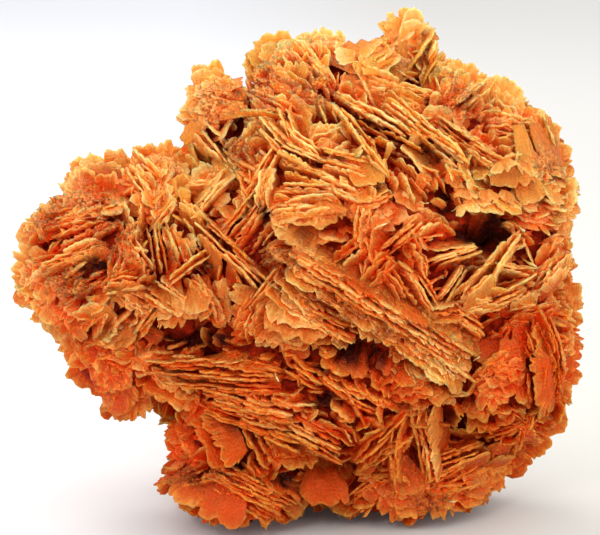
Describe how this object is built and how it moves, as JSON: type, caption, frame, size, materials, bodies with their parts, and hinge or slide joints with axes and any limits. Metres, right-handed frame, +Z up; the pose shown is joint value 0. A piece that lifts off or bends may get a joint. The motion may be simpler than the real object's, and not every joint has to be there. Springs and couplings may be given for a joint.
{
  "type": "barite crystal cluster",
  "caption": "Hand-sized mineral specimen for display: orange barite blades grown together in fanned, stacked sheaves, which rests on its flattened underside.",
  "frame": {"origin": "on the floor, under the middle of the cluster's box", "axes": "+X along the longest side, to the right as the front is seen; -Y towards whoever looks at the front; +Z up"},
  "size_m": [0.118, 0.073, 0.1044],
  "materials": {
    "barite": "orange, translucent crystal with pale blade edges, pearly faces and dark red gaps, between satin and dull"
  },
  "bodies": {
    "root": {"barite_cluster": "barite"}
  },
  "joints": []
}
